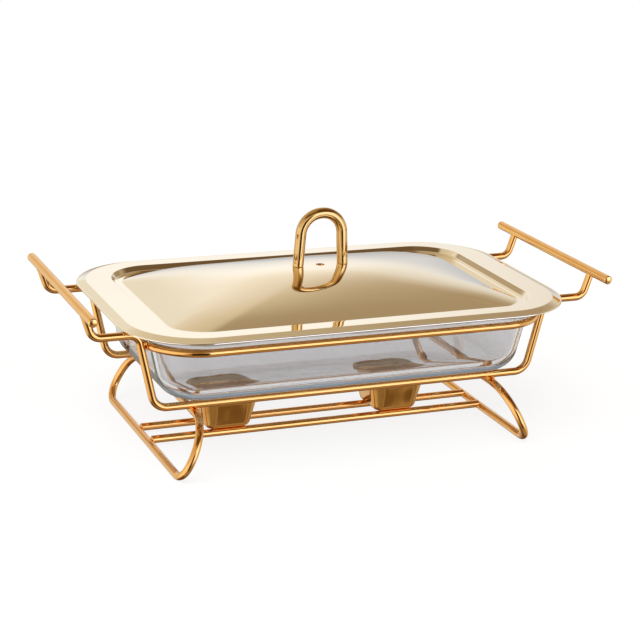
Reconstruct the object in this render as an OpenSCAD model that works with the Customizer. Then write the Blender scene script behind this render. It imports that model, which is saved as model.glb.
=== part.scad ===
// Wire-stand chafing dish: glass casserole, lift-off lid and two burner cups.
// Millimetres, +Z up, X along the length, floor at z = 0, origin under the centre.

/* [Wire stock] */
// Diameter of the stand wire
wire_d = 7; // [5:0.5:9]
// Depth that one welded wire sinks into the next
weld = 0.3; // [0.2:0.05:0.5]
// Length of the slight swelling at each end of a bend
joint_l = 0.4; // [0.3:0.05:0.6]
// How much thicker the wire is at that swelling
joint_d = 0.04; // [0.02:0.01:0.08]

/* [Glass dish] */
// Half length of the body just under the rim
dish_hx = 181; // [150:1:210]
// Half width of the body just under the rim
dish_hy = 102; // [90:1:120]
// Body corner radius just under the rim
dish_r = 46; // [42:1:52]
// Height of the body from its base to the underside of the rim
dish_body_h = 56.5; // [50:0.5:70]
// Lean of the walls
dish_lean = 12; // [9:0.5:14]
// Wall thickness
dish_wall = 5; // [4:0.25:6]
// Floor thickness
dish_floor = 7; // [5:0.5:9]
// Rounding of the outer bottom edge
dish_edge = 22; // [16:1:24]
// How far the rim stands out from the body
rim_out = 10.5; // [9:0.25:11]
// Width of the rim
rim_w = 5; // [4:0.25:6]
// Height of the rim
rim_h = 13.2; // [11:0.1:16]
// Rounding of the edges of the rim
rim_edge = 1.5; // [0.5:0.25:2]
// How far the thick root of the rim reaches below it, inside the dish
rim_root = 1.5; // [1:0.25:3]

/* [Side wires] */
// Height of the bottom run under the dish
run_z = 57.3; // [50:0.1:70]
// Distance of each side wire in from the long side of the rim ring
side_in = 33; // [26:1:44]
// Lean of the rising ends
side_lean = 12.9; // [10:0.1:15]
// Length of the flat step at each end
step_l = 39.5; // [34:0.5:46]
// Bend radius at the bottom run
run_bend = 14; // [10:1:18]
// Bend radius at the step
step_bend = 10; // [8:0.5:11]

/* [End handles] */
// Diameter of the handle bars
bar_d = 8; // [7:0.5:10]
// How far the handle bars stand out past the foot of their posts
bar_out = 7.5; // [4:0.5:12]
// Height of the handle bars above the step
bar_rise = 23.5; // [19:0.1:30]
// Half length of the handle bars
bar_hy = 104; // [90:1:116]
// Bevel on the ends of the handle bars
bar_bevel = 0.8; // [0.4:0.1:1.5]

/* [Legs] */
// Distance of the top bars in from the corners of the bottom run
leg_inset = 35.5; // [25:0.5:50]
// How far the foot bars stand out past the top bars
leg_out = 22.5; // [10:0.5:30]
// Straight length of a top bar past the side wire
leg_land = 3; // [2:0.5:8]
// Upper bend radius of a leg loop
leg_top_r = 35; // [25:1:36]
// Lower bend radius of a leg loop
leg_foot_r = 15.5; // [8:0.5:16]

/* [Burner rails] */
// Distance of each rail in from the edge of a cup's base
rail_in = 4.3; // [4:0.1:8]
// Height of the rails above the middle of the foot bars
rail_lift = 2.5; // [1:0.5:3]
// How far each rail ends short of the middle of a foot bar
rail_short = 2; // [1:0.25:2.5]
// Bevel on the ends of the rails
rail_bevel = 1; // [0.5:0.25:1.5]

/* [Lid] */
// How far the lid reaches past the rim at the ends
lid_over_x = 18; // [16:0.5:23]
// How far the lid reaches past the rim at the sides
lid_over_y = 16.5; // [14:0.5:20]
// Corner radius of the lid
lid_r = 70; // [62:1:74]
// Sheet thickness
lid_t = 1; // [0.8:0.1:1.4]
// Width of the sloping outer edge
skirt_w = 8.5; // [7:0.5:12]
// Drop of the sloping outer edge
skirt_drop = 2.5; // [1:0.25:3]
// Diameter of the hem along the outer edge
hem_d = 1.8; // [1.5:0.1:2.2]
// Corner radius of the recess
recess_r = 42; // [38:1:46]
// Depth of the recess
recess_deep = 4.2; // [3:0.2:5.2]
// Width of the flat channel round the crown
channel_w = 10; // [7:0.5:13]
// Rise of the crown above the channel
crown_rise = 24; // [16:0.5:30]
// Fullness of the crown
crown_power = 2.2; // [1.8:0.1:3]
// Half width of the flat spot round the steam vent
crown_flat = 6.7; // [5.5:0.1:8]
// Diameter of the steam vent
vent_d = 8; // [5:0.5:10]
// Lap of the crown and of the sloping edge into the flat sheet beside them
sheet_lap = 0.5; // [0.3:0.1:0.8]

/* [Lid handle] */
// Diameter of the handle rod
grip_d = 10; // [8:0.5:12]
// Half spread of the handle
grip_hx = 21.8; // [18:0.2:26]
// Height of the handle above the lid, to the middle of the rod
grip_h = 48.5; // [40:0.5:56]
// Inward lean of the legs of the handle
grip_lean = 3.4; // [0:0.2:6]
// Straight length at the top of the handle
grip_flat = 1; // [0.5:0.5:6]
// Shank diameter of the fixing screws
screw_d = 5; // [4:0.5:6]
// Length of thread in the handle
screw_grip = 9; // [6:0.5:12]
// Depth of the screw hole past the end of the thread
screw_spare = 1; // [0.5:0.5:3]
// Head diameter of the fixing screws
screw_head_d = 9.5; // [8:0.5:11]
// Head height of the fixing screws
screw_head_h = 3; // [2:0.25:4]

/* [Burner cups] */
// Distance of the middle of the left cup in from the left foot bar
left_cup_in = 74.5; // [60:0.5:100]
// Distance of the middle of the right cup in from the right foot bar
right_cup_in = 91.5; // [60:0.5:100]
// Half width of the cup at its base
cup_base = 20.5; // [18:0.5:24]
// How far the wall leans out between base and shoulder
cup_spread = 6.5; // [4:0.25:8]
// How far the rim flares out past the shoulder
cup_flare = 3.5; // [2.5:0.25:6]
// Corner radius of the cup at its base
cup_r = 4; // [3.5:0.5:8]
// Height of the shoulder above the base
cup_shoulder_h = 25.5; // [22:0.5:28]
// Height of the flared rim above the shoulder
cup_rim_h = 4.5; // [3:0.5:6]
// Rounding of the bottom edge of the cup
cup_edge = 4; // [3:0.5:4]
// Sheet thickness of the cups
cup_t = 1; // [0.8:0.1:1.2]
// Width of the flat lip on the edge of the cup
cup_lip = 0.6; // [0.4:0.1:1]

/* [Clearances] */
// Gap under a piece that rests on another
seat_gap = 0.3; // [0.2:0.05:0.4]
// Gap between the dish and the bottom runs
base_gap = 0.5; // [0.3:0.05:0.8]
// Gap between the dish and the rim ring along the sides and round the corners
ring_gap = 0.5; // [0.4:0.05:1]
// Gap between the dish and the rim ring at the ends
ring_end_gap = 3.2; // [2.8:0.1:5]
// Gap between the lid's recess and the rim at the sides
recess_gap = 1.3; // [0.8:0.1:3]
// Gap between the lid's recess and the rim at the ends
recess_end_gap = 9; // [6:0.5:12]
// Gap between the floor of the lid's recess and the flare of the dish
flare_gap = 1.3; // [0.8:0.1:2]
// Gap between the lid's hem and the steps of the side wires
step_gap = 0.4; // [0.3:0.1:2]
// Depth that the feet of the lid handle bed into the crown
grip_bed = 0.15; // [0.1:0.05:0.3]
// Gap between the screw heads and the crown
head_gap = 0.35; // [0.3:0.05:0.6]
// Gap round each screw shank
screw_gap = 0.1; // [0.05:0.05:0.3]

/* [Hidden] */
$fn = 48;
gold = [0.83, 0.61, 0.25];
satin_gold = [0.85, 0.64, 0.38];
champagne = [0.90, 0.82, 0.66];
clear_glass = [0.70, 0.74, 0.78, 0.45];
steel = [0.62, 0.62, 0.60];

joint_back = joint_l / 4;
lap = wire_d - weld;

dish_z = run_z + wire_d / 2 + base_gap;
rim_z = dish_z + dish_body_h;
rim_top = rim_z + rim_h;
dish_ax = dish_hx - dish_r;
dish_ay = dish_hy - dish_r;
dish_foot_r = dish_r - dish_body_h * tan(dish_lean);
dish_skin = dish_wall / cos(dish_lean);
dish_inner_edge = dish_edge - dish_wall;
rim_r = dish_r + rim_out;
rim_open = rim_r - rim_w;

flange_z = rim_top + seat_gap + lid_t;
lid_hx = dish_hx + rim_out + lid_over_x;
lid_hy = dish_hy + rim_out + lid_over_y;
flange_edge_r = lid_r - skirt_w;
hem_z = flange_z - skirt_drop - lid_t / 2;
recess_hx = dish_hx + rim_out - rim_w - recess_end_gap - lid_t;
recess_hy = dish_hy + rim_out - rim_w - recess_gap - lid_t;
channel_z = flange_z - recess_deep;
crown_hx = recess_hx - channel_w;
crown_hy = recess_hy - channel_w;
crown_r = recess_r - channel_w;
crown_rows = 10;
crown_cap = 1 - crown_flat / crown_hy;
crown_steps = 8;
flare_low = rim_z - rim_root;
flare_high = channel_z - lid_t - flare_gap;

ring_z = rim_z - seat_gap - wire_d / 2;
ring_r = dish_r + ring_gap + wire_d / 2;
ring_hx = dish_hx + ring_end_gap + wire_d / 2;
ring_hy = dish_hy + ring_gap + wire_d / 2;
ring_turn = asin((ring_r - side_in) / ring_r);
ring_touch = lap * norm([cos(ring_turn), cos(side_lean) * sin(ring_turn)])
    / (cos(side_lean) * cos(ring_turn));

side_y = ring_hy - side_in;
fall_x = ring_hx + ring_touch - ring_r * (1 - cos(ring_turn));
run_x = fall_x - (ring_z - run_z) * tan(side_lean);
step_z = hem_z - hem_d / 2 - step_gap - wire_d / 2;
step_x = fall_x + (step_z - ring_z) * tan(side_lean);
post_x = step_x + step_l;
bar_x = post_x + bar_out;
bar_z = step_z + bar_rise;

foot_z = wire_d / 2;
leg_top_x = run_x - leg_inset;
leg_top_z = run_z - lap;
leg_rise = leg_top_z - foot_z;
foot_x = leg_top_x + leg_out;
leg_hy = side_y + leg_land + leg_top_r;
leg_h = norm([leg_out, leg_rise]);
leg_splay = atan2(leg_out, leg_rise);
leg_foot_bend = min(leg_foot_r, leg_h - leg_top_r - joint_l);

rail_y = cup_base - rail_in;
rail_z = foot_z + rail_lift;
rail_hx = foot_x - rail_short;

grip_z = crown_top(1 - grip_hx / crown_hx) - grip_bed;
grip_top_hx = grip_hx - grip_h * tan(grip_lean);
grip_bend = (grip_top_hx - grip_flat / 2) / tan(45 - grip_lean / 2);
screw_seat = grip_z - lid_t - head_gap;

left_cup_x = left_cup_in - foot_x;
right_cup_x = foot_x - right_cup_in;
cup_z = rail_z + wire_d / 2 + seat_gap;
cup_ax = cup_base - cup_r;
cup_h = cup_shoulder_h + cup_rim_h;
cup_lean = atan2(cup_spread, cup_shoulder_h);

// Height of the crown at a share s of the way from its edge to its middle
function crown_top(s) = channel_z + crown_rise * (1 - pow(1 - s, crown_power));

// Points of an arc in a section
function arc(c, r, a, b, n) = [for (i = [0:n])
    let (t = a + (b - a) * i / n) c + r * [cos(t), sin(t)]];

function unit(v) = v / norm(v);
function wrap(i, n) = (i + n) % n;

// Tangent length of a rounded corner between two neighbours
function trim(a, p, b, r) = let (turn = 180 - acos(unit(a - p) * unit(b - p))) r * tan(turn / 2);

// One round rod from p to q in the drawing plane
module rod(p, q, d) {
    translate([p.x, p.y, 0])
        rotate([0, 90, atan2(q.y - p.y, q.x - p.x)])
            cylinder(d = d, h = norm(q - p));
}

// One rounded corner of a bent wire at p, between neighbours a and b
module bend(a, p, b, r, d) {
    u = unit(a - p);
    v = unit(b - p);
    turn = 180 - acos(u * v);
    mid = p + unit(u + v) * r / cos(turn / 2);
    t = r * tan(turn / 2);
    first = u.x * v.y - u.y * v.x < 0 ? p + u * t : p + v * t;
    translate([mid.x, mid.y, 0])
        rotate([0, 0, atan2(first.y - mid.y, first.x - mid.x)])
            rotate_extrude(angle = turn)
                translate([r, 0])
                    circle(d = d);
}

// Bent wire through flat points, with a bend radius for each point
module bent_wire(path, radii, d, closed) {
    n = len(path);
    last = closed ? n - 1 : n - 2;
    cut = [for (i = [0:n - 1]) closed || (i > 0 && i < n - 1)
        ? trim(path[wrap(i - 1, n)], path[i], path[wrap(i + 1, n)], radii[i]) : 0];
    for (i = [0:last]) {
        p = path[i];
        q = path[wrap(i + 1, n)];
        along = unit(q - p);
        cut_p = cut[i];
        cut_q = cut[wrap(i + 1, n)];
        from = p + along * cut_p;
        to = q - along * cut_q;
        back_p = cut_p > 0 ? joint_back : 0;
        back_q = cut_q > 0 ? joint_back : 0;
        rod(from + along * back_p, to - along * back_q, d);
        if (cut_p > 0)
            rod(from - along * joint_l / 2, from + along * joint_l / 2, d + joint_d);
        if (cut_q > 0)
            rod(to - along * joint_l / 2, to + along * joint_l / 2, d + joint_d);
    }
    for (i = [0:n - 1])
        if (cut[i] > 0)
            bend(path[wrap(i - 1, n)], path[i], path[wrap(i + 1, n)], radii[i], d);
}

// Flat rounded rectangle
module round_rect(hx, hy, r) {
    square([2 * (hx - r), 2 * hy], center = true);
    square([2 * hx, 2 * (hy - r)], center = true);
    for (x = [r - hx, hx - r])
        for (y = [r - hy, hy - r])
            translate([x, y])
                circle(r = r);
}

// Carries a section round a rectangle of corner axes
module around(ax, ay) {
    for (k = [0:3])
        translate([k == 0 || k == 3 ? ax : -ax, k < 2 ? ay : -ay, 0]) {
            rotate([0, 0, 90 * k])
                rotate_extrude(angle = 90)
                    children();
            rotate([90, 0, 90 * k])
                linear_extrude(k % 2 == 0 ? 2 * ay : 2 * ax)
                    children();
        }
}

// Straight round bar along Z with bevelled ends
module bevelled_bar(d, l, bevel) {
    r = d / 2;
    rotate_extrude()
        polygon([[0, 0], [r - bevel, 0], [r, bevel], [r, l - bevel], [r - bevel, l], [0, l]]);
}

// Both bars or wires that a welded end is cut round, as thick as the weld leaves them
module cope(x, z, d, half_l) {
    for (side = [-x, x])
        translate([side, half_l, z])
            rotate([90, 0, 0])
                cylinder(d = d - 2 * weld, h = 2 * half_l);
}

module side_wire(y) {
    half = [[bar_x, bar_z], [post_x, step_z], [step_x, step_z], [run_x, run_z]];
    path = concat(half, [for (i = [3:-1:0]) [-half[i].x, half[i].y]]);
    color(gold)
        difference() {
            translate([0, y, 0])
                rotate([90, 0, 0])
                    bent_wire(path, [0, step_bend, step_bend, run_bend, run_bend, step_bend, step_bend, 0],
                        wire_d, false);
            cope(bar_x, bar_z, bar_d, bar_hy);
        }
}

module front_side_wire() {
    side_wire(-side_y);
}

module rear_side_wire() {
    side_wire(side_y);
}

module rim_ring() {
    path = [[ring_hx, ring_hy], [-ring_hx, ring_hy], [-ring_hx, -ring_hy], [ring_hx, -ring_hy]];
    color(gold)
        translate([0, 0, ring_z])
            bent_wire(path, [ring_r, ring_r, ring_r, ring_r], wire_d, true);
}

module leg_loop() {
    path = [[leg_hy, 0], [leg_hy, leg_h], [-leg_hy, leg_h], [-leg_hy, 0]];
    color(gold)
        translate([foot_x, 0, foot_z])
            rotate([0, -leg_splay, 0])
                rotate([90, 0, 90])
                    bent_wire(path, [leg_foot_bend, leg_top_r, leg_top_r, leg_foot_bend], wire_d, true);
}

module left_leg_loop() {
    mirror([1, 0, 0])
        leg_loop();
}

module right_leg_loop() {
    leg_loop();
}

module burner_rail(y) {
    color(gold)
        difference() {
            translate([-rail_hx, y, rail_z])
                rotate([0, 90, 0])
                    bevelled_bar(wire_d, 2 * rail_hx, rail_bevel);
            cope(foot_x, foot_z, wire_d, side_y);
        }
}

module front_burner_rail() {
    burner_rail(-rail_y);
}

module rear_burner_rail() {
    burner_rail(rail_y);
}

module handle_bar(x) {
    color(satin_gold)
        translate([x, bar_hy, bar_z])
            rotate([90, 0, 0])
                bevelled_bar(bar_d, 2 * bar_hy, bar_bevel);
}

module left_handle_bar() {
    handle_bar(-bar_x);
}

module right_handle_bar() {
    handle_bar(bar_x);
}

// Wall, floor edge and rim of the dish in section, outside first
module dish_section() {
    k = (1 - sin(dish_lean)) / cos(dish_lean);
    out_c = [dish_foot_r - dish_edge * k, dish_z + dish_edge];
    in_z = dish_z + dish_floor;
    in_foot = dish_foot_r - dish_skin + dish_floor * tan(dish_lean);
    in_c = [in_foot - dish_inner_edge * k, in_z + dish_inner_edge];
    flare_r = dish_r - dish_skin - (rim_z - flare_low) * tan(dish_lean);
    polygon(concat(
        [[0, dish_z]],
        arc(out_c, dish_edge, -90, -dish_lean, 9),
        [[dish_r, rim_z]],
        arc([rim_r - rim_edge, rim_z + rim_edge], rim_edge, -90, 0, 3),
        arc([rim_r - rim_edge, rim_top - rim_edge], rim_edge, 0, 90, 3),
        arc([rim_open + rim_edge, rim_top - rim_edge], rim_edge, 90, 180, 3),
        [[rim_open, flare_high], [flare_r, flare_low]],
        arc(in_c, dish_inner_edge, -dish_lean, -90, 9),
        [[0, in_z]]));
}

module glass_dish() {
    color(clear_glass) {
        around(dish_ax, dish_ay)
            dish_section();
        translate([-dish_ax, -dish_ay, dish_z])
            cube([2 * dish_ax, 2 * dish_ay, dish_floor]);
    }
}

// One contour of the crown
function contour(s, z, grow) = let (
    hx = crown_hx * (1 - s) + grow,
    hy = crown_hy * (1 - s) + grow,
    r = (1 - s) * (crown_r + (crown_hy - crown_r) * s) + grow,
    n = crown_steps)
    [for (k = [0:3]) for (i = [0:n]) let (
        a = 90 * k + 90 * i / n,
        x = (k == 0 || k == 3 ? 1 : -1) * (hx - r),
        y = (k < 2 ? 1 : -1) * (hy - r))
        [x + r * cos(a), y + r * sin(a), z]];

// Thin crowned panel, its edge lapped into the channel
module crown() {
    m = crown_rows;
    n = 4 * (crown_steps + 1);
    upper = [for (i = [0:m - 1])
        let (s = crown_cap * i / (m - 1))
        contour(s, crown_top(s), i == 0 ? sheet_lap : 0)];
    lower = [for (i = [0:m - 1]) [for (p = upper[i]) p - [0, 0, lid_t]]];
    points = [for (ring = concat(upper, lower)) for (p = ring) p];
    top_faces = [for (i = [0:m - 2]) for (j = [0:n - 1]) let (j2 = (j + 1) % n)
        each [[i * n + j, (i + 1) * n + j, i * n + j2], [i * n + j2, (i + 1) * n + j, (i + 1) * n + j2]]];
    low_faces = [for (f = top_faces) [f[0] + m * n, f[2] + m * n, f[1] + m * n]];
    edge_faces = [for (j = [0:n - 1]) let (j2 = (j + 1) % n)
        each [[j, j2, m * n + j], [j2, m * n + j2, m * n + j]]];
    cap = [for (j = [n - 1:-1:0]) (m - 1) * n + j];
    low_cap = [for (j = [0:n - 1]) (2 * m - 1) * n + j];
    polyhedron(points, concat(top_faces, low_faces, edge_faces, [cap, low_cap]));
}

module lid_sheet() {
    translate([0, 0, flange_z - lid_t])
        linear_extrude(lid_t)
            difference() {
                round_rect(lid_hx - skirt_w, lid_hy - skirt_w, flange_edge_r);
                round_rect(recess_hx, recess_hy, recess_r);
            }
    around(lid_hx - lid_r, lid_hy - lid_r)
        polygon([[flange_edge_r - sheet_lap, flange_z - lid_t],
            [lid_r - hem_d / 2, flange_z - lid_t - skirt_drop],
            [lid_r - hem_d / 2, flange_z - skirt_drop],
            [flange_edge_r, flange_z],
            [flange_edge_r - sheet_lap, flange_z]]);
    around(lid_hx - lid_r, lid_hy - lid_r)
        translate([lid_r - hem_d / 2, hem_z])
            circle(d = hem_d);
    translate([0, 0, channel_z - lid_t])
        linear_extrude(flange_z - channel_z + lid_t)
            difference() {
                round_rect(recess_hx + lid_t, recess_hy + lid_t, recess_r + lid_t);
                round_rect(recess_hx, recess_hy, recess_r);
            }
    translate([0, 0, channel_z - lid_t])
        linear_extrude(lid_t)
            difference() {
                round_rect(recess_hx + lid_t, recess_hy + lid_t, recess_r + lid_t);
                round_rect(crown_hx, crown_hy, crown_r);
            }
    crown();
}

module lid() {
    color(champagne)
        difference() {
            lid_sheet();
            translate([0, 0, channel_z])
                cylinder(d = vent_d, h = crown_rise + lid_t);
            for (x = [-grip_hx, grip_hx])
                translate([x, 0, channel_z])
                    cylinder(d = screw_d + 2 * screw_gap, h = crown_rise + lid_t);
        }
}

module lid_handle() {
    spare = grip_d * tan(grip_lean);
    low = [grip_hx + spare * tan(grip_lean), grip_z - spare];
    high = [grip_top_hx, grip_z + grip_h];
    path = [[-low.x, low.y], [-high.x, high.y], high, low];
    color(gold)
        difference() {
            rotate([90, 0, 0])
                bent_wire(path, [0, grip_bend, grip_bend, 0], grip_d, false);
            translate([-grip_hx - grip_d, -grip_d, grip_z - grip_d])
                cube([2 * (grip_hx + grip_d), 2 * grip_d, grip_d]);
            for (x = [-grip_hx, grip_hx])
                translate([x, 0, grip_z - screw_spare])
                    cylinder(d = screw_d + 2 * screw_gap, h = screw_grip + 2 * screw_spare);
        }
}

module lid_handle_screws() {
    color(steel)
        for (x = [-grip_hx, grip_hx])
            translate([x, 0, screw_seat - screw_head_h]) {
                cylinder(d = screw_head_d, h = screw_head_h);
                cylinder(d = screw_d, h = grip_z + screw_grip - screw_seat + screw_head_h);
            }
}

// Wall, floor edge and flared rim of a cup in section
module cup_section() {
    k = (1 - sin(cup_lean)) / cos(cup_lean);
    inner_edge = cup_edge - cup_t;
    skin = cup_t / cos(cup_lean);
    out_c = [cup_r - cup_edge * k, cup_edge];
    in_c = [cup_r - skin + cup_t * tan(cup_lean) - inner_edge * k, cup_t + inner_edge];
    shoulder_r = cup_r + cup_spread;
    edge_r = shoulder_r + cup_flare;
    polygon(concat(
        [[0, 0]],
        arc(out_c, cup_edge, -90, -cup_lean, 7),
        [[shoulder_r, cup_shoulder_h], [edge_r, cup_h - cup_t], [edge_r, cup_h], [edge_r - cup_lip, cup_h]],
        [[shoulder_r - skin, cup_shoulder_h + cup_lip]],
        arc(in_c, inner_edge, -cup_lean, -90, 7),
        [[0, cup_t]]));
}

module burner_cup(x) {
    color(gold)
        translate([x, 0, cup_z]) {
            around(cup_ax, cup_ax)
                cup_section();
            translate([-cup_ax, -cup_ax, 0])
                cube([2 * cup_ax, 2 * cup_ax, cup_t]);
        }
}

module left_burner_cup() {
    burner_cup(left_cup_x);
}

module right_burner_cup() {
    burner_cup(right_cup_x);
}

front_side_wire();
rear_side_wire();
rim_ring();
left_leg_loop();
right_leg_loop();
front_burner_rail();
rear_burner_rail();
left_handle_bar();
right_handle_bar();
glass_dish();
lid();
lid_handle();
lid_handle_screws();
left_burner_cup();
right_burner_cup();
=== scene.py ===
import math

import bmesh
import bpy
from mathutils import Matrix, Vector


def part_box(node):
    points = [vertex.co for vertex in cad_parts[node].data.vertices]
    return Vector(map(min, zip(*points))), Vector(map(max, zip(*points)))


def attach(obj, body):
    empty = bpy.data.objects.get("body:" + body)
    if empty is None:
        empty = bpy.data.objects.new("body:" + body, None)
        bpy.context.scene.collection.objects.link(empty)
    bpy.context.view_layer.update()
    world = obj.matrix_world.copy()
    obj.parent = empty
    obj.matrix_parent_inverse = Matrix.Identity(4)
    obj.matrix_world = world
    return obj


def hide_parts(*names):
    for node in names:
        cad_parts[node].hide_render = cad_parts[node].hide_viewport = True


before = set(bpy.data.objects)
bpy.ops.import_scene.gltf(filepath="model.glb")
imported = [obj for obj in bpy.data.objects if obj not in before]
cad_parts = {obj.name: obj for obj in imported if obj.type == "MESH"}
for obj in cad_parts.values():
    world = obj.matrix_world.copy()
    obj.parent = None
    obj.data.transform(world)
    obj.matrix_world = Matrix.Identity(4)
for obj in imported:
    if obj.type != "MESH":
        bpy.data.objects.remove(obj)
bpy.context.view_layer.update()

# Sizes, in metres
MM = 0.001
WIRE_R = 3.5 * MM
BAR_R = 4 * MM
GRIP_R = 5 * MM

RUN_BEND = 14 * MM
STEP_BEND = 10 * MM
STEP_L = 39.5 * MM
STEP_LEAN = math.radians(12.9)
STEP_Z = 124.5 * MM
RING_BEND = 50 * MM
LEG_TOP_BEND = 35 * MM
LEG_FOOT_BEND = 15.5 * MM
BAR_OUT = 7.5 * MM
BAR_BEVEL = 0.8 * MM
RAIL_BEVEL = 1 * MM
GRIP_LEAN = math.radians(3.4)
GRIP_FLAT = 1 * MM
GRIP_BEVEL = 0.5 * MM
GRIP_HX = 21.8 * MM

DISH_R = 46 * MM
DISH_LEAN = math.radians(12)
DISH_WALL = 5 * MM
DISH_FLOOR = 7 * MM
DISH_EDGE = 22 * MM
DISH_BODY_H = 56.5 * MM
RIM_OUT = 10.5 * MM
RIM_W = 5 * MM
RIM_EDGE = 1.5 * MM
RIM_FOOT = 6 * MM
RIM_NECK = 1.2 * MM
RIM_ROOT = 10 * MM
ROOT_BEND = 3 * MM
FLARE_DROP = 2.2 * MM
FLARE_BEND = 1 * MM
DISH_MIDDLE = 1 * MM
DISH_ARC_STEPS = 12

LID_R = 70 * MM
LID_T = 1 * MM
SKIRT_W = 8.5 * MM
SKIRT_DROP = 2.5 * MM
SKIRT_BEND = 0.8 * MM
SKIRT_ARC_STEPS = 4
HEM_R = 0.9 * MM
HEM_LAP = 1.6 * HEM_R
HEM_START = -140
HEM_TURN = 20
HEM_RINGS = 15
FLANGE_Z = 132.3 * MM
RECESS_HX = 176.5 * MM
RECESS_HY = 105.2 * MM
RECESS_R = 42 * MM
RECESS_DEEP = 4.2 * MM
WALL_RUN = 3.2 * MM
WALL_TOP = 0.6 * MM
WALL_FOOT = 0.8 * MM
WALL_ARC_STEPS = 6
FLAT_MARGIN = 3 * MM
CHANNEL_W = 10 * MM
CROWN_RISE = 24 * MM
CROWN_POWER = 2.2
CROWN_ROWS = 40
CROWN_EDGE = (0, 0.006)
CROWN_FIRST = 0.012
CROWN_CAP = 0.93
DOME_START = 0.12
DOME_FULL = 0.75
VENT_R = 4 * MM
VENT_LIP = 2.5

CUP_BASE = 20.5 * MM
CUP_SPREAD = 6.5 * MM
CUP_FLARE = 3.5 * MM
CUP_R = 7 * MM
CUP_SHOULDER_H = 25.5 * MM
CUP_H = 30 * MM
CUP_EDGE = 6.5 * MM
CUP_T = 1 * MM
CUP_LIP = 0.6 * MM
CUP_MIDDLE = 0.4 * MM
CUP_SHOULDER_BEND = 2.5 * MM
CUP_RIM_BENDS = (0.3 * MM, 0.25 * MM, 0.2 * MM)
CUP_ARC_STEPS = 8

CREASE = 0.5 * MM
LONG_GAP = 6 * CREASE
MERGE = 0.001 * MM
TUBE_SIDES = 40
BEND_STEP = math.radians(4)
CORNER_STEPS = 20
SIDE_SHARES = (0.03, 0.15, 0.35, 0.5, 0.65, 0.85, 0.97)
SHARP_ANGLE = math.radians(50)

# Camera of the photograph
CAMERA_AT = Vector((-0.61143, -1.43182, 0.58541))
CAMERA_LOOK = Vector((0.37592, 0.87737, -0.29816)).normalized()
CAMERA_ROLL = math.radians(2.303)
CAMERA_LENS = 99.88
CAMERA_NEAR = 0.01
CAMERA_FAR = 100
SENSOR = 36.0


# Node helpers

NOISE_LOW = 0.3
NOISE_HIGH = 0.7
NOISE_MIDDLE = 0.5
TONE_DETAIL = 3
GRAIN_STRENGTH = 0.15


def new_material(name):
    material = bpy.data.materials.new(name)
    material.use_nodes = True
    tree = material.node_tree
    shader = tree.nodes["Principled BSDF"]
    return material, tree, shader


def noise_field(tree, scale, detail, stretch=(1, 1, 1)):
    """Noise in object space, stretched along the axes."""
    place = tree.nodes.new("ShaderNodeTexCoord")
    mapping = tree.nodes.new("ShaderNodeMapping")
    mapping.inputs["Scale"].default_value = stretch
    noise = tree.nodes.new("ShaderNodeTexNoise")
    noise.inputs["Scale"].default_value = scale
    noise.inputs["Detail"].default_value = detail
    tree.links.new(place.outputs["Object"], mapping.inputs["Vector"])
    tree.links.new(mapping.outputs["Vector"], noise.inputs["Vector"])
    return noise.outputs["Fac"]


def to_range(tree, value, low, high):
    """Noise value spread between low and high."""
    spread = tree.nodes.new("ShaderNodeMapRange")
    spread.inputs["From Min"].default_value = NOISE_LOW
    spread.inputs["From Max"].default_value = NOISE_HIGH
    spread.inputs["To Min"].default_value = low
    spread.inputs["To Max"].default_value = high
    tree.links.new(value, spread.inputs["Value"])
    return spread.outputs["Result"]


def colour_ramp(tree, value, stops):
    """Colour by value, through (position, colour) stops."""
    ramp = tree.nodes.new("ShaderNodeValToRGB")
    elements = ramp.color_ramp.elements
    elements[0].position = stops[0][0]
    elements[1].position = stops[-1][0]
    elements[0].color = (*stops[0][1], 1)
    elements[1].color = (*stops[-1][1], 1)
    for position, colour in stops[1:-1]:
        elements.new(position).color = (*colour, 1)
    tree.links.new(value, ramp.inputs["Fac"])
    return ramp.outputs["Color"]


def bump(tree, shader, value, strength, distance):
    node = tree.nodes.new("ShaderNodeBump")
    node.inputs["Strength"].default_value = strength
    node.inputs["Distance"].default_value = distance
    tree.links.new(value, node.inputs["Height"])
    tree.links.new(node.outputs["Normal"], shader.inputs["Normal"])


def math_node(tree, operation, *values):
    """Math node fed with sockets or plain numbers."""
    node = tree.nodes.new("ShaderNodeMath")
    node.operation = operation
    for socket, value in zip(node.inputs, values):
        if isinstance(value, (int, float)):
            socket.default_value = value
        else:
            tree.links.new(value, socket)
    return node.outputs["Value"]


def part_of(tree, vector, axis):
    split = tree.nodes.new("ShaderNodeSeparateXYZ")
    tree.links.new(vector, split.inputs["Vector"])
    return split.outputs[axis]


def smooth(tree, value, start, end):
    """Zero at start, one at end, eased between them."""
    ease = tree.nodes.new("ShaderNodeMapRange")
    ease.interpolation_type = "SMOOTHSTEP"
    ease.inputs["From Min"].default_value = start
    ease.inputs["From Max"].default_value = end
    tree.links.new(value, ease.inputs["Value"])
    return ease.outputs["Result"]


def blend(tree, share, first, second):
    """Colour from first to second, the second a socket or a plain colour."""
    mix = tree.nodes.new("ShaderNodeMix")
    mix.data_type = "RGBA"
    factor, a, b = mix.inputs["Factor"], mix.inputs[6], mix.inputs[7]
    tree.links.new(share, factor)
    tree.links.new(first, a)
    if isinstance(second, tuple):
        b.default_value = (*second, 1)
    else:
        tree.links.new(second, b)
    return mix.outputs[2]


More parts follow.
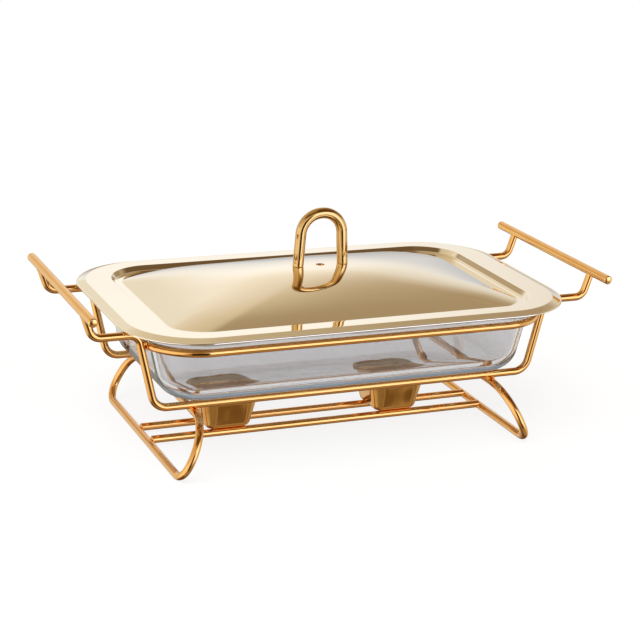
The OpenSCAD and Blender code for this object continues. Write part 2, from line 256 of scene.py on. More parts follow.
def metal(name, dark, light, rough, tone_scale, grain, lacquer=0):
    """Plated metal with drifting tone, uneven polish, a grain and a share of clear lacquer.

    The grain is its scale, detail, stretch and depth.
    """
    material, tree, shader = new_material(name)
    scale, detail, stretch, depth = grain
    shader.inputs["Metallic"].default_value = 1
    shader.inputs["Coat Weight"].default_value = lacquer
    tone = noise_field(tree, tone_scale, TONE_DETAIL)
    relief = noise_field(tree, scale, detail, stretch)
    tones = ((NOISE_LOW, dark), (NOISE_HIGH, light))
    tree.links.new(colour_ramp(tree, tone, tones), shader.inputs["Base Color"])
    tree.links.new(to_range(tree, relief, *rough), shader.inputs["Roughness"])
    bump(tree, shader, relief, GRAIN_STRENGTH, depth)
    return material


# Share of the dish's height, and the tint of the glass there: the glass's faint own tint at the rim,
# darkened to grey up the body as painted shade, for the light that the lid keeps out of the covered dish
GLASS_TINT_AND_PAINTED_SHADE = (
    (0.00, (0.73, 0.725, 0.735)),
    (0.74, (0.73, 0.725, 0.735)),
    (0.84, (0.92, 0.92, 0.92)),
    (1.00, (0.93, 0.93, 0.93)),
)
EDGE_TINT = (0.50, 0.63, 0.74)
EDGE_MILK = 0.42
EDGE_H = 0.20
EDGE_FULL_H = 0.12
EDGE_FLAT = 0.98
EDGE_SLANT = 0.80
EDGE_INWARD = 0.1
RIM_MILK = 0.30
RIM_H = 0.84
RIM_START_H = 0.798
GLASS_IOR = 1.47

# Scale and detail of the noise that shifts the tint, and the share of the height that it shifts by
DRIFT = (12, 2)
DRIFT_H = 0.06

# Scale, detail and stretch of the ripple, then its strength and depth
RIPPLE = (26, 2, (1, 1, 2.5))
RIPPLE_STRENGTH = 0.2
RIPPLE_DEPTH = 0.6 * MM


def glass(name):
    """Pressed glass: a rippled body greyed by painted shade, and a pale rim and bluish lower edge that are
    slightly milky.
    """
    material, tree, shader = new_material(name)
    shader.inputs["IOR"].default_value = GLASS_IOR
    shader.inputs["Roughness"].default_value = 0
    low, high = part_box("glass_dish")
    place = tree.nodes.new("ShaderNodeTexCoord")
    height = math_node(tree, "SUBTRACT", part_of(tree, place.outputs["Object"], "Z"), low.z)
    share = math_node(tree, "DIVIDE", height, high.z - low.z)
    drift = math_node(tree, "SUBTRACT", noise_field(tree, *DRIFT), NOISE_MIDDLE)
    drifted = math_node(tree, "ADD", share, math_node(tree, "MULTIPLY", drift, DRIFT_H))
    upward = part_of(tree, place.outputs["Normal"], "Z")
    slanted = smooth(tree, upward, -EDGE_FLAT, -EDGE_SLANT)
    outside = smooth(tree, upward, EDGE_INWARD, 0.0)
    low_down = smooth(tree, drifted, EDGE_H, EDGE_FULL_H)
    edge = math_node(tree, "MULTIPLY", low_down, math_node(tree, "MULTIPLY", slanted, outside))
    rim = smooth(tree, share, RIM_START_H, RIM_H)
    # The grey of the tint up the body is painted shade
    tint_and_painted_shade = blend(tree, edge, colour_ramp(tree, drifted, GLASS_TINT_AND_PAINTED_SHADE), EDGE_TINT)
    milk = math_node(tree, "ADD", math_node(tree, "MULTIPLY", edge, EDGE_MILK),
                     math_node(tree, "MULTIPLY", rim, RIM_MILK))
    clear = math_node(tree, "SUBTRACT", 1.0, milk)
    tree.links.new(tint_and_painted_shade, shader.inputs["Base Color"])
    tree.links.new(clear, shader.inputs["Transmission Weight"])
    wave = math_node(tree, "SUBTRACT", noise_field(tree, *RIPPLE), NOISE_MIDDLE)
    ripple = math_node(tree, "MULTIPLY", wave, math_node(tree, "SUBTRACT", 1.0, rim))
    bump(tree, shader, ripple, RIPPLE_STRENGTH, RIPPLE_DEPTH)
    return material


# Mesh helpers

def make_piece(name, verts, faces, looks, body, node):
    """Closed smooth mesh that rides on a body; with a node it takes that node's place.

    Each look is a material and the number of the first face that has it.
    """
    shape = bmesh.new()
    corners = [shape.verts.new(v) for v in verts]
    for count, face in enumerate(faces):
        side = shape.faces.new([corners[i] for i in face])
        side.material_index = sum(count >= start for material, start in looks) - 1
    bmesh.ops.remove_doubles(shape, verts=shape.verts, dist=MERGE)
    bmesh.ops.dissolve_degenerate(shape, edges=shape.edges, dist=MERGE)
    bmesh.ops.recalc_face_normals(shape, faces=shape.faces)
    mesh = bpy.data.meshes.new(name)
    shape.to_mesh(mesh)
    shape.free()
    for material, start in looks:
        mesh.materials.append(material)
    mesh.polygons.foreach_set("use_smooth", [True] * len(mesh.polygons))
    mesh.set_sharp_from_angle(angle=SHARP_ANGLE)
    mesh.update()
    piece = bpy.data.objects.new(name, mesh)
    bpy.context.scene.collection.objects.link(piece)
    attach(piece, body)
    if node:
        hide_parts(node)
    return piece


def loft(rings, closed):
    """Quads between neighbouring rings of equal length, with caps unless closed."""
    count = len(rings[0])
    verts = [p for ring in rings for p in ring]
    faces = []
    last = len(rings) if closed else len(rings) - 1
    for i in range(last):
        a = i * count
        b = (i + 1) % len(rings) * count
        for j in range(count):
            k = (j + 1) % count
            faces.append((a + j, a + k, b + k, b + j))
    if not closed:
        faces.append(tuple(reversed(range(count))))
        faces.append(tuple(range(len(verts) - count, len(verts))))
    return verts, faces


def round_rect(hx, hy, r, z, at=(0, 0)):
    """Points of a rounded rectangle, anticlockwise, closer together near the corners."""
    points = []
    corners = ((1, 1), (-1, 1), (-1, -1), (1, -1))
    for k, (sx, sy) in enumerate(corners):
        for i in range(CORNER_STEPS + 1):
            a = math.radians(90) * (k + i / CORNER_STEPS)
            x = at[0] + sx * (hx - r) + r * math.cos(a)
            y = at[1] + sy * (hy - r) + r * math.sin(a)
            points.append(Vector((x, y, z)))
    ring = []
    for k in range(4):
        corner = points[k * (CORNER_STEPS + 1):(k + 1) * (CORNER_STEPS + 1)]
        after = points[(k + 1) * (CORNER_STEPS + 1) % len(points)]
        ring += corner
        ring += [corner[-1].lerp(after, share) for share in SIDE_SHARES]
    return ring


def fillet(before, corner, after, radius, steps):
    """Points of the arc that rounds a corner of a flat line."""
    u = (before - corner).normalized()
    v = (after - corner).normalized()
    turn = math.pi - u.angle(v)
    centre = corner + (u + v).normalized() * radius / math.cos(turn / 2)
    first = corner + u * radius * math.tan(turn / 2) - centre
    spin = turn if u.x * v.y - u.y * v.x < 0 else -turn
    points = []
    for i in range(steps + 1):
        c, s = math.cos(spin * i / steps), math.sin(spin * i / steps)
        points.append(centre + Vector((c * first.x - s * first.y, s * first.x + c * first.y)))
    return points


def section(corners, steps):
    """Flat line through (x, y, radius) corners, with supporting points beside each rounding."""
    flat = [Vector((x, y)) for x, y, r in corners]
    runs = [[flat[0]]]
    for i in range(1, len(flat) - 1):
        runs.append(fillet(flat[i - 1], flat[i], flat[i + 1], corners[i][2], steps))
    runs.append([flat[-1]])
    line = list(runs[0])
    for before, after in zip(runs, runs[1:]):
        gap = after[0] - before[-1]
        if gap.length > LONG_GAP:
            step = gap.normalized() * CREASE
            line += [before[-1] + step, after[0] - step]
        line += after
    return line


def bent_line(corners, radii):
    """Points and directions along a line with rounded corners."""
    count = len(corners)
    line = []
    for i, p in enumerate(corners):
        if radii[i] == 0:
            towards = corners[1] - p if i == 0 else p - corners[i - 1]
            line.append((p, towards.normalized()))
            continue
        u = (corners[i - 1] - p).normalized()
        v = (corners[(i + 1) % count] - p).normalized()
        turn = math.pi - u.angle(v)
        centre = p + (u + v).normalized() * radii[i] / math.cos(turn / 2)
        first = p + u * radii[i] * math.tan(turn / 2) - centre
        axis = (-u).cross(v).normalized()
        steps = max(2, math.ceil(turn / BEND_STEP))
        for j in range(steps + 1):
            spin = Matrix.Rotation(turn * j / steps, 3, axis)
            line.append((centre + spin @ first, spin @ -u))
    return line


def bevel_ends(line, radius, bevel):
    """Stations (point, direction, radius) of a bar whose two ends are bevelled."""
    (p0, t0), (p1, t1) = line[0], line[-1]
    stations = [(p0, t0, radius - bevel), (p0 + t0 * bevel, t0, radius)]
    stations.append((p0 + t0 * (bevel + CREASE), t0, radius))
    stations += [(p, t, radius) for p, t in line[1:-1]]
    stations += [(p1 - t1 * (bevel + CREASE), t1, radius), (p1 - t1 * bevel, t1, radius)]
    return stations + [(p1, t1, radius - bevel)]


def tube(stations, normal):
    """Round bar through stations along a flat line whose plane has that normal."""
    rings = []
    for p, t, r in stations:
        side = normal.cross(t).normalized()
        ring = []
        for j in range(TUBE_SIDES):
            a = 2 * math.pi * j / TUBE_SIDES
            ring.append(p + r * (math.cos(a) * side + math.sin(a) * normal))
        rings.append(ring)
    return rings


def wire(name, corners, bends, normal, closed, node):
    """Bent gold wire of the stand."""
    stations = [(p, t, WIRE_R) for p, t in bent_line(corners, bends)]
    verts, faces = loft(tube(stations, normal), closed)
    make_piece(name, verts, faces, ((gold, 0),), "stand", node)


# Materials

EVEN = (1, 1, 1)
ALONG_X = (0.05, 1, 1)
ALONG_Y = (1, 0.04, 1)
gold = metal("polished_gold", (0.80, 0.385, 0.095), (0.87, 0.44, 0.12), (0.06, 0.085), 30,
             (700, 4, EVEN, 0.02 * MM), 0.6)
weld_gold = metal("weld_gold", (0.84, 0.38, 0.07), (0.94, 0.50, 0.14), (0.10, 0.20), 300,
                  (900, 4, EVEN, 0.06 * MM))
satin = metal("satin_gold", (0.93, 0.50, 0.17), (0.98, 0.57, 0.21), (0.20, 0.27), 40,
              (500, 4, ALONG_Y, 0.02 * MM))
grip_gold = metal("handle_gold", (0.62, 0.36, 0.11), (0.70, 0.42, 0.14), (0.06, 0.085), 30,
                  (700, 4, EVEN, 0.02 * MM), 0.6)
sheet_gold = metal("champagne_mirror", (0.955, 0.87, 0.725), (0.975, 0.89, 0.75), (0.03, 0.045), 8,
                   (600, 4, EVEN, 0.004 * MM))
sheet_inside = metal("champagne_satin", (0.90, 0.83, 0.71), (0.95, 0.88, 0.77), (0.40, 0.50), 8,
                     (500, 4, ALONG_X, 0.02 * MM))
cup_gold = metal("cup_gold", (0.62, 0.31, 0.08), (0.72, 0.38, 0.11), (0.06, 0.10), 40,
                 (42, 0.5, EVEN, 7 * MM), 0.15)
# Inside of the cups: a satin finish. Its colour, far lighter than the outside, is painted light for the
# light that the dish and lid keep from it
cup_inside_painted_light = metal("cup_satin_painted_light", (0.97, 0.56, 0.12), (1.00, 0.64, 0.17), (0.26, 0.36), 40,
                   (300, 3, EVEN, 0.05 * MM))
steel = metal("screw_steel", (0.52, 0.52, 0.51), (0.62, 0.62, 0.61), (0.25, 0.4), 200,
              (900, 4, EVEN, 0.03 * MM))
dish_glass = glass("clear_glass")


# Stand

def side_wire(node):
    low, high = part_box(node)
    bar_low, bar_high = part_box("right_handle_bar")
    bar = (bar_low + bar_high) / 2
    y = (low.y + high.y) / 2
    run_z = low.z + WIRE_R
    post_x = bar.x - BAR_OUT
    step_x = post_x - STEP_L
    run_x = step_x - (STEP_Z - run_z) * math.tan(STEP_LEAN)
    half = [(bar.x, bar.z), (post_x, STEP_Z), (step_x, STEP_Z), (run_x, run_z)]
    corners = [Vector((x, y, z)) for x, z in half]
    corners += [Vector((-x, y, z)) for x, z in reversed(half)]
    bends = [0, STEP_BEND, STEP_BEND, RUN_BEND, RUN_BEND, STEP_BEND, STEP_BEND, 0]
    wire(node + "_look", corners, bends, Vector((0, 1, 0)), False, node)


def rim_ring():
    low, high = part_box("rim_ring")
    hx = high.x - WIRE_R
    hy = high.y - WIRE_R
    z = (low.z + high.z) / 2
    corners = [Vector((x, y, z)) for x, y in ((hx, hy), (-hx, hy), (-hx, -hy), (hx, -hy))]
    wire("rim_ring_look", corners, [RING_BEND] * 4, Vector((0, 0, 1)), True, "rim_ring")


def leg_loop(node, side):
    low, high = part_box(node)
    outer = max(abs(low.x), abs(high.x)) - WIRE_R
    inner = min(abs(low.x), abs(high.x)) + WIRE_R
    hy = high.y - WIRE_R
    top_z = high.z - WIRE_R
    corners = [Vector((side * outer, hy, WIRE_R)), Vector((side * inner, hy, top_z)),
               Vector((side * inner, -hy, top_z)), Vector((side * outer, -hy, WIRE_R))]
    normal = (corners[1] - corners[0]).cross(corners[2] - corners[1]).normalized()
    bends = [LEG_FOOT_BEND, LEG_TOP_BEND, LEG_TOP_BEND, LEG_FOOT_BEND]
    wire(node + "_look", corners, bends, normal, True, node)


def straight_bar(node, axis, radius, bevel, material):
    low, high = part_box(node)
    mid = (low + high) / 2
    start, end = mid.copy(), mid.copy()
    start[axis] = low[axis]
    end[axis] = high[axis]
    towards = (end - start).normalized()
    stations = bevel_ends([(start, towards), (end, towards)], radius, bevel)
    verts, faces = loft(tube(stations, Vector((0, 0, 1))), False)
    make_piece(node + "_look", verts, faces, ((material, 0),), "stand", node)


# Welds

BEAD_RINGS = 9
BEAD_SIDES = 16
LUMP_WIDE = 0.10
LUMP_FINE = 0.07

# Half sizes of the beads of each kind, in millimetres
LEG_BEAD = (1.9, 2.7, 1.7)
RAIL_BEAD = (1.7, 1.7, 1.5)
BAR_BEAD = (3.2, 3.6, 1.5)
RING_BEAD = (2.2, 3.0, 1.9)

# Places of the beads beside the wires that they join
BOTH_SIDES = (-2.6 * MM, 2.6 * MM)
RAIL_BEAD_IN = 3 * MM
RAIL_BEAD_Z = 4.2 * MM
BAR_BEAD_IN = 3.4 * MM
BAR_BEAD_UP = 0.2 * MM
RING_BEAD_IN = 2.9 * MM
RING_BEAD_OUT = 0.6 * MM
RING_BEAD_UP = 2.6 * MM


def bead(at, half):
    """Lumpy blob of weld metal round a point, with those half sizes."""
    rings = []
    for i in range(BEAD_RINGS):
        t = math.pi * (i + 0.5) / BEAD_RINGS
        ring = []
        for j in range(BEAD_SIDES):
            a = 2 * math.pi * j / BEAD_SIDES
            lump = 1 + LUMP_WIDE * math.sin(3 * a + 7 * t) + LUMP_FINE * math.sin(5 * t - 2 * a)
            away = Vector((math.sin(t) * math.cos(a), math.sin(t) * math.sin(a), math.cos(t)))
            ring.append(at + lump * Vector((away.x * half[0], away.y * half[1], away.z * half[2])))
        rings.append(ring)
    return loft(rings, False)


def weld_group(name, places, half):
    """One piece holding all the beads of a kind."""
    verts, faces = [], []
    for at in places:
        more, sides = bead(at, [h * MM for h in half])
        faces += [tuple(i + len(verts) for i in side) for side in sides]
        verts += more
    make_piece(name, verts, faces, ((weld_gold, 0),), "stand", None)


def welds():
    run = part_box("front_side_wire")[0].z + WIRE_R
    side_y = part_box("rear_side_wire")[1].y - WIRE_R
    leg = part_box("right_leg_loop")
    top_x = leg[0].x + WIRE_R
    foot_x = leg[1].x - WIRE_R
    seam_z = (run + leg[1].z - WIRE_R) / 2
    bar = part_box("right_handle_bar")
    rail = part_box("rear_burner_rail")
    rail_y = (rail[0].y + rail[1].y) / 2
    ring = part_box("rim_ring")
    ring_z = (ring[0].z + ring[1].z) / 2 + RING_BEAD_UP
    quarters = [(x, y) for x in (-1, 1) for y in (-1, 1)]
    rail_x = foot_x - RAIL_BEAD_IN
    bar_x, bar_z = bar[0].x + BAR_BEAD_IN, bar[0].z + BAR_BEAD_UP
    ring_x, ring_y = ring[1].x - RING_BEAD_IN, side_y + RING_BEAD_OUT
    weld_group("leg_welds", [Vector((x * (top_x + out), y * side_y, seam_z))
                             for x, y in quarters for out in BOTH_SIDES], LEG_BEAD)
    weld_group("rail_welds", [Vector((x * rail_x, y * rail_y + out, RAIL_BEAD_Z))
                              for x, y in quarters for out in BOTH_SIDES], RAIL_BEAD)
    weld_group("bar_welds", [Vector((x * bar_x, y * side_y, bar_z)) for x, y in quarters], BAR_BEAD)
    weld_group("ring_welds", [Vector((x * ring_x, y * ring_y, ring_z)) for x, y in quarters], RING_BEAD)


# Glass dish

def dish_section():
    """Outside, rim and inside of the dish, from the middle of its base to the middle of its floor."""
    low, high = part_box("glass_dish")
    slope = math.tan(DISH_LEAN)
    skin = DISH_WALL / math.cos(DISH_LEAN)
    base, top = low.z, high.z
    floor_z = base + DISH_FLOOR
    rim_z = base + DISH_BODY_H
    foot_r = DISH_R - DISH_BODY_H * slope
    rim_r = DISH_R + RIM_OUT
    rim_open = rim_r - RIM_W
    return section((
        (DISH_MIDDLE, base, 0),
        (foot_r, base, DISH_EDGE),
        (DISH_R, rim_z, RIM_NECK),
        (rim_r, rim_z, RIM_FOOT),
        (rim_r, top, RIM_EDGE),
        (rim_open, top, RIM_EDGE),
        (rim_open, top - FLARE_DROP, FLARE_BEND),
        (DISH_R - skin - RIM_ROOT * slope, rim_z - RIM_ROOT, ROOT_BEND),
        (foot_r - skin + DISH_FLOOR * slope, floor_z, DISH_EDGE - DISH_WALL),
        (DISH_MIDDLE, floor_z, 0)), DISH_ARC_STEPS)


def glass_dish():
    low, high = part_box("glass_dish")
    ax = high.x - RIM_OUT - DISH_R
    ay = high.y - RIM_OUT - DISH_R
    rings = [round_rect(ax + p.x, ay + p.x, p.x, p.y) for p in dish_section()]
    verts, faces = loft(rings, False)
    make_piece("glass_dish_look", verts, faces, ((dish_glass, 0),), "dish", "glass_dish")


# Lid

def crown_z(s):
    """Height of the crown at a share s of the way from its edge to its middle."""
    return FLANGE_Z - RECESS_DEEP + CROWN_RISE * (1 - (1 - s) ** CROWN_POWER)


def crown_ring(s, drop):
    """Ring of the crown: a rounded rectangle low down that eases into an ellipse near the middle."""
    full_hy = RECESS_HY - CHANNEL_W
    edge_r = RECESS_R - CHANNEL_W
    hx = (RECESS_HX - CHANNEL_W) * (1 - s)
    hy = full_hy * (1 - s)
    r = (1 - s) * (edge_r + (full_hy - edge_r) * s)
    ring = round_rect(hx, hy, r, crown_z(s) - drop)
    share = min(1, max(0, (s - DOME_START) / (DOME_FULL - DOME_START)))
    ease = share * share * (3 - 2 * share)
    for p in ring:
        inward = 1 + ease * (1 / math.hypot(p.x / hx, p.y / hy) - 1)
        p.x *= inward
        p.y *= inward
    return ring


def lid_surface(lid_hx, lid_hy, drop):
    """Rings of one face of the sheet from the skirt to the vent, lowered by drop."""
    high = FLANGE_Z - drop
    low = high - RECESS_DEEP
    # The lower face of the sloped wall lies further out than the upper one
    side = drop / 2
    skirt = section(((HEM_LAP, high - SKIRT_DROP, 0), (SKIRT_W, high, SKIRT_BEND),
                     (SKIRT_W + FLAT_MARGIN, high, 0)), SKIRT_ARC_STEPS)
    wall = section(((side + FLAT_MARGIN, high, 0), (side, high, WALL_TOP), (side - WALL_RUN, low, WALL_FOOT),
                    (1.5 * CREASE - CHANNEL_W, low, 0)), WALL_ARC_STEPS)
    rings = [round_rect(lid_hx - p.x, lid_hy - p.x, LID_R - p.x, p.y) for p in skirt]
    rings += [round_rect(RECESS_HX + p.x, RECESS_HY + p.x, RECESS_R + p.x, p.y) for p in wall]
    shares = [CROWN_FIRST + (CROWN_CAP - CROWN_FIRST) * i / CROWN_ROWS for i in range(CROWN_ROWS + 1)]
    rings += [crown_ring(s, drop) for s in (*CROWN_EDGE, *shares)]
    rings.append(round_rect(VENT_R, VENT_R, VENT_R, crown_z(CROWN_CAP) - drop * VENT_LIP))
    return rings


def lid():
    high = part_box("lid")[1]
    top = lid_surface(high.x, high.y, 0)
    under = lid_surface(high.x, high.y, LID_T)
    hem_z = FLANGE_Z - SKIRT_DROP - LID_T / 2
    hem = []
    for i in range(HEM_RINGS):
        a = math.radians(HEM_START + HEM_TURN * i)
        out = HEM_R * math.cos(a) - HEM_R
        hem.append(round_rect(high.x + out, high.y + out, LID_R + out, hem_z + HEM_R * math.sin(a)))
    verts, faces = loft(hem + top + list(reversed(under)), True)
    row = len(hem[0])
    vent = (len(hem) + len(top) - 1) * row
    looks = ((sheet_gold, 0), (gold, vent), (sheet_inside, vent + row))
    make_piece("lid_look", verts, faces, looks, "lid", "lid")


def set_on(ring, z, towards):
    """Ring slid along a leg of the handle until it lies level at that height."""
    return [p + towards * (z - p.z) / towards.z for p in ring]


def lid_handle():
    low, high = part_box("lid_handle")
    top = high.z - GRIP_R
    top_hx = GRIP_HX - (top - low.z) * math.tan(GRIP_LEAN)
    bend = (top_hx - GRIP_FLAT / 2) / math.tan(math.radians(45) - GRIP_LEAN / 2)
    arch = ((-GRIP_HX, low.z), (-top_hx, top), (top_hx, top), (GRIP_HX, low.z))
    corners = [Vector((x, 0, z)) for x, z in arch]
    line = bent_line(corners, [0, bend, bend, 0])
    rings = tube(bevel_ends(line, GRIP_R, GRIP_BEVEL), Vector((0, 1, 0)))
    for ends, towards in (((0, 1, 2), line[0][1]), ((-1, -2, -3), line[-1][1])):
        for end, rise in zip(ends, (0, GRIP_BEVEL, GRIP_BEVEL + CREASE)):
            rings[end] = set_on(rings[end], low.z + rise, towards)
    verts, faces = loft(rings, False)
    make_piece("lid_handle_look", verts, faces, ((grip_gold, 0),), "lid", "lid_handle")


# Burner cups

def cup_section():
    """Outside, lip and inside of a cup, from the middle of its base to the middle of its floor."""
    lean = math.atan2(CUP_SPREAD, CUP_SHOULDER_H)
    skin = CUP_T / math.cos(lean)
    shoulder = CUP_R + CUP_SPREAD
    edge = shoulder + CUP_FLARE
    under, outer, inner = CUP_RIM_BENDS
    return section((
        (CUP_MIDDLE, 0, 0),
        (CUP_R, 0, CUP_EDGE),
        (shoulder, CUP_SHOULDER_H, CUP_SHOULDER_BEND),
        (edge, CUP_H - CUP_T, under),
        (edge, CUP_H, outer),
        (edge - CUP_LIP, CUP_H, inner),
        (shoulder - skin, CUP_SHOULDER_H + CUP_LIP, CUP_SHOULDER_BEND),
        (CUP_R - skin + CUP_T * math.tan(lean), CUP_T, CUP_EDGE - CUP_T),
        (CUP_MIDDLE, CUP_T, 0)), CUP_ARC_STEPS)


def burner_cup(node, body):
    low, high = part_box(node)
    at = ((low.x + high.x) / 2, (low.y + high.y) / 2)
    ax = CUP_BASE - CUP_R
    line = cup_section()
    rings = [round_rect(ax + p.x, ax + p.x, p.x, low.z + p.y, at) for p in line]
    verts, faces = loft(rings, False)
    lip = max(range(len(line)), key=lambda i: line[i].y)
    # The inside faces take the lighter colour that is painted light
    looks = ((cup_gold, 0), (cup_inside_painted_light, (lip + 1) * len(rings[0])))
    make_piece(node + "_look", verts, faces, looks, body, node)


side_wire("front_side_wire")
side_wire("rear_side_wire")
rim_ring()
leg_loop("left_leg_loop", -1)
leg_loop("right_leg_loop", 1)
for rail in ("front_burner_rail", "rear_burner_rail"):
    straight_bar(rail, 0, WIRE_R, RAIL_BEVEL, gold)
for bar in ("left_handle_bar", "right_handle_bar"):
    straight_bar(bar, 1, BAR_R, BAR_BEVEL, satin)
welds()
glass_dish()
lid()
lid_handle()
burner_cup("left_burner_cup", "left_cup")
burner_cup("right_burner_cup", "right_cup")
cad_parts["lid_handle_screws"].data.materials.clear()
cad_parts["lid_handle_screws"].data.materials.append(steel)


# Studio

# Elevation in degrees, and the colour of the room there, behind the object and to the left
ROOM = (
    (-90, (0.16, 0.10, 0.05)),
    (-60, (0.20, 0.12, 0.06)),
    (-30, (0.30, 0.22, 0.14)),
    (-12, (0.42, 0.40, 0.38)),
    (-3, (0.56, 0.56, 0.58)),
    (2, (0.71, 0.72, 0.74)),
    (7, (0.85, 0.85, 0.86)),
    (12, (0.97, 0.96, 0.95)),
    (17, (1.04, 1.03, 1.01)),
    (22, (1.04, 1.00, 0.93)),
    (27, (0.93, 0.86, 0.73)),
    (32, (0.84, 0.75, 0.61)),
    (37, (0.77, 0.67, 0.52)),
    (45, (0.70, 0.59, 0.41)),
    (57, (0.62, 0.52, 0.35)),
    (75, (0.50, 0.40, 0.26)),
    (90, (0.45, 0.35, 0.23)),
)

# The same to the right
RIGHT_ROOM = (
    (-90, (0.16, 0.10, 0.05)),
    (-60, (0.20, 0.12, 0.06)),
    (-30, (0.30, 0.22, 0.14)),
    (-12, (0.42, 0.40, 0.38)),
    (2, (0.60, 0.62, 0.66)),
    (7, (0.74, 0.73, 0.74)),
    (12, (0.80, 0.76, 0.68)),
    (17, (0.74, 0.67, 0.56)),
    (22, (0.60, 0.53, 0.41)),
    (27, (0.48, 0.38, 0.25)),
    (37, (0.41, 0.30, 0.18)),
    (52, (0.42, 0.32, 0.19)),
    (75, (0.36, 0.26, 0.15)),
    (90, (0.45, 0.35, 0.23)),
)
RIGHT_START = -0.03
RIGHT_FULL = 0.26

# Azimuth from straight behind the object towards the right, then elevation, each as (middle, half, soft)
# in degrees, and the colour
PANELS = (
    ((-60, 42, 12), (22, 7, 6), (0.85, 0.79, 0.67)),
    ((-52, 12, 10), (2, 22, 8), (0.43, 0.32, 0.19)),
    ((52, 18, 12), (14, 8, 8), (0.35, 0.26, 0.15)),
    ((80, 30, 25), (-15, 20, 12), (0.88, 0.87, 0.72)),
    ((-90, 50, 25), (-15, 25, 15), (0.88, 0.87, 0.74)),
    ((-125, 35, 15), (-12, 20, 10), (1.30, 1.35, 1.40)),
    ((140, 60, 20), (-55, 20, 10), (0.40, 0.35, 0.25)),
    ((185, 55, 15), (56, 8, 6), (0.17, 0.11, 0.05)),
    ((100, 38, 14), (57, 19, 12), (0.15, 0.09, 0.04)),
    ((130, 22, 10), (5, 18, 8), (1.80, 2.05, 2.70)),
    ((122, 10, 12), (-46, 10, 12), (0.52, 0.44, 0.32)),
    ((126, 3, 5), (-43, 3, 5), (0.24, 0.18, 0.105)),
    ((165, 14, 6), (-12, 28, 8), (0.06, 0.04, 0.02)),
)
BEHIND = Vector((0.394, 0.919, 0))
RIGHT = Vector((0.919, -0.394, 0))


def window(tree, degrees, middle, half, soft):
    """One within a band of degrees, falling softly to zero beside it."""
    offset = math_node(tree, "SUBTRACT", degrees, float(middle))
    around = math_node(tree, "WRAP", offset, 180.0, -180.0)
    return smooth(tree, math_node(tree, "ABSOLUTE", around), half + soft, half)


def along(tree, direction, axis):
    dot = tree.nodes.new("ShaderNodeVectorMath")
    dot.operation = "DOT_PRODUCT"
    dot.inputs[1].default_value = axis
    tree.links.new(direction, dot.inputs[0])
    return dot.outputs["Value"]


def room_colour(tree):
    """Colour of the studio by direction: a room with a bright backdrop, lamps and dark panels."""
    direction = tree.nodes.new("ShaderNodeTexCoord").outputs["Generated"]
    height = along(tree, direction, (0, 0, 1))
    elevation = math_node(tree, "DEGREES", math_node(tree, "ARCSINE", height))
    turn = math_node(tree, "ARCTAN2", along(tree, direction, RIGHT), along(tree, direction, BEHIND))
    azimuth = math_node(tree, "DEGREES", turn)
    share = math_node(tree, "DIVIDE", math_node(tree, "ADD", elevation, 90.0), 180.0)
    sideways = smooth(tree, along(tree, direction, RIGHT), RIGHT_START, RIGHT_FULL)
    rooms = [colour_ramp(tree, share, [((degrees + 90) / 180, tone) for degrees, tone in room])
             for room in (ROOM, RIGHT_ROOM)]
    colour = blend(tree, sideways, *rooms)
    for turned, upward, tone in PANELS:
        across = window(tree, azimuth, *turned)
        within = math_node(tree, "MULTIPLY", across, window(tree, elevation, *upward))
        colour = blend(tree, within, colour, tone)
    return colour


# Share of plain white behind what is seen through the glass
SEEN_THROUGH = 0.6


def studio_world():
    """White to the camera, and the studio to everything that reflects it."""
    world = bpy.data.worlds.new("studio")
    bpy.context.scene.world = world
    world.use_nodes = True
    tree = world.node_tree
    tree.nodes.clear()
    output = tree.nodes.new("ShaderNodeOutputWorld")
    mix = tree.nodes.new("ShaderNodeMixShader")
    white = tree.nodes.new("ShaderNodeBackground")
    white.inputs["Color"].default_value = (1, 1, 1, 1)
    studio = tree.nodes.new("ShaderNodeBackground")
    path = tree.nodes.new("ShaderNodeLightPath")
    tree.links.new(room_colour(tree), studio.inputs["Color"])
    through = math_node(tree, "MULTIPLY", path.outputs["Is Transmission Ray"], SEEN_THROUGH)
    tree.links.new(math_node(tree, "MAXIMUM", path.outputs["Is Camera Ray"], through), mix.inputs["Fac"])
    tree.links.new(studio.outputs["Background"], mix.inputs[1])
    tree.links.new(white.outputs["Background"], mix.inputs[2])
    tree.links.new(mix.outputs["Shader"], output.inputs["Surface"])


FLOOR_HALF = 6.0
FLOOR_DROP = 0.03 * MM
FADE_START = 0.5
FADE_END = 1.2
SHADOW_LEFT = 0.85
FLOOR_TONE = (0.95, 0.95, 0.95, 1)
FLOOR_ROUGH = 0.9


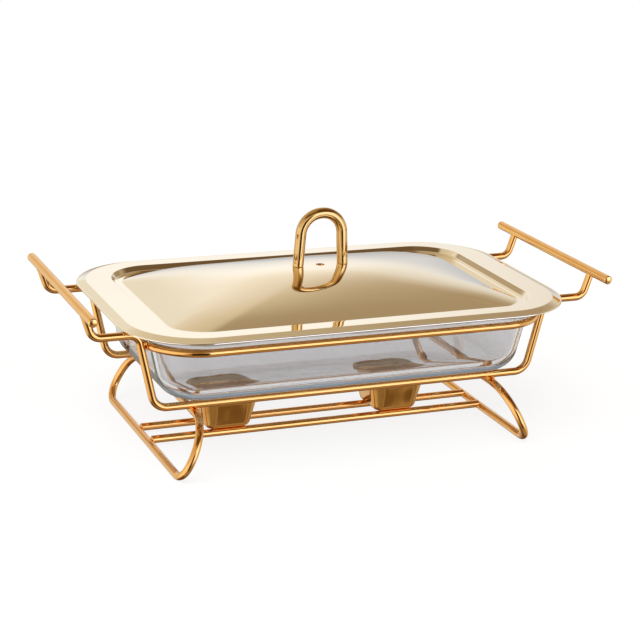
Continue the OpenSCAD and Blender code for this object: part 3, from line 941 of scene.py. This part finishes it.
def floor():
    """Pale floor: a faint shadow near the object, white further off."""
    sides = ((-1, -1), (1, -1), (1, 1), (-1, 1))
    corners = [(x * FLOOR_HALF, y * FLOOR_HALF, -FLOOR_DROP) for x, y in sides]
    mesh = bpy.data.meshes.new("floor")
    mesh.from_pydata(corners, [], [(0, 1, 2, 3)])
    material, tree, shader = new_material("floor")
    shader.inputs["Base Color"].default_value = FLOOR_TONE
    shader.inputs["Roughness"].default_value = FLOOR_ROUGH
    shader.inputs["Specular IOR Level"].default_value = 0
    white = tree.nodes.new("ShaderNodeEmission")
    white.inputs["Color"].default_value = (1, 1, 1, 1)
    place = tree.nodes.new("ShaderNodeTexCoord")
    length = tree.nodes.new("ShaderNodeVectorMath")
    length.operation = "LENGTH"
    tree.links.new(place.outputs["Object"], length.inputs[0])
    fade = tree.nodes.new("ShaderNodeMapRange")
    fade.interpolation_type = "SMOOTHSTEP"
    fade.inputs["From Min"].default_value = FADE_START
    fade.inputs["From Max"].default_value = FADE_END
    fade.inputs["To Min"].default_value = SHADOW_LEFT
    tree.links.new(length.outputs["Value"], fade.inputs["Value"])
    shaded = tree.nodes.new("ShaderNodeMixShader")
    tree.links.new(fade.outputs["Result"], shaded.inputs["Fac"])
    tree.links.new(shader.outputs["BSDF"], shaded.inputs[1])
    tree.links.new(white.outputs["Emission"], shaded.inputs[2])
    tree.links.new(shaded.outputs["Shader"], tree.nodes["Material Output"].inputs["Surface"])
    mesh.materials.append(material)
    plane = bpy.data.objects.new("floor", mesh)
    plane.visible_glossy = False
    bpy.context.scene.collection.objects.link(plane)


KEY_POWER = 2.8
KEY_SPREAD = math.radians(50)
KEY_TURN = (math.radians(35), 0, math.radians(-40))


def key_light():
    """Soft light from above the camera's left, for the floor and what is not metal."""
    lamp = bpy.data.lights.new("key", "SUN")
    lamp.energy = KEY_POWER
    lamp.angle = KEY_SPREAD
    light = bpy.data.objects.new("key", lamp)
    light.rotation_euler = KEY_TURN
    light.visible_glossy = False
    bpy.context.scene.collection.objects.link(light)


def photo_camera():
    lens = bpy.data.cameras.new("photo")
    lens.lens = CAMERA_LENS
    lens.sensor_width = SENSOR
    lens.clip_start = CAMERA_NEAR
    lens.clip_end = CAMERA_FAR
    camera = bpy.data.objects.new("photo", lens)
    right = CAMERA_LOOK.cross(Vector((0, 0, 1))).normalized()
    up = right.cross(CAMERA_LOOK)
    level = Matrix((right, up, -CAMERA_LOOK)).transposed()
    roll = Matrix.Rotation(CAMERA_ROLL, 3, "Z")
    camera.matrix_world = Matrix.Translation(CAMERA_AT) @ (level @ roll).to_4x4()
    bpy.context.scene.collection.objects.link(camera)
    bpy.context.scene.camera = camera


studio_world()
floor()
key_light()
photo_camera()
bpy.context.scene.view_settings.view_transform = "Standard"
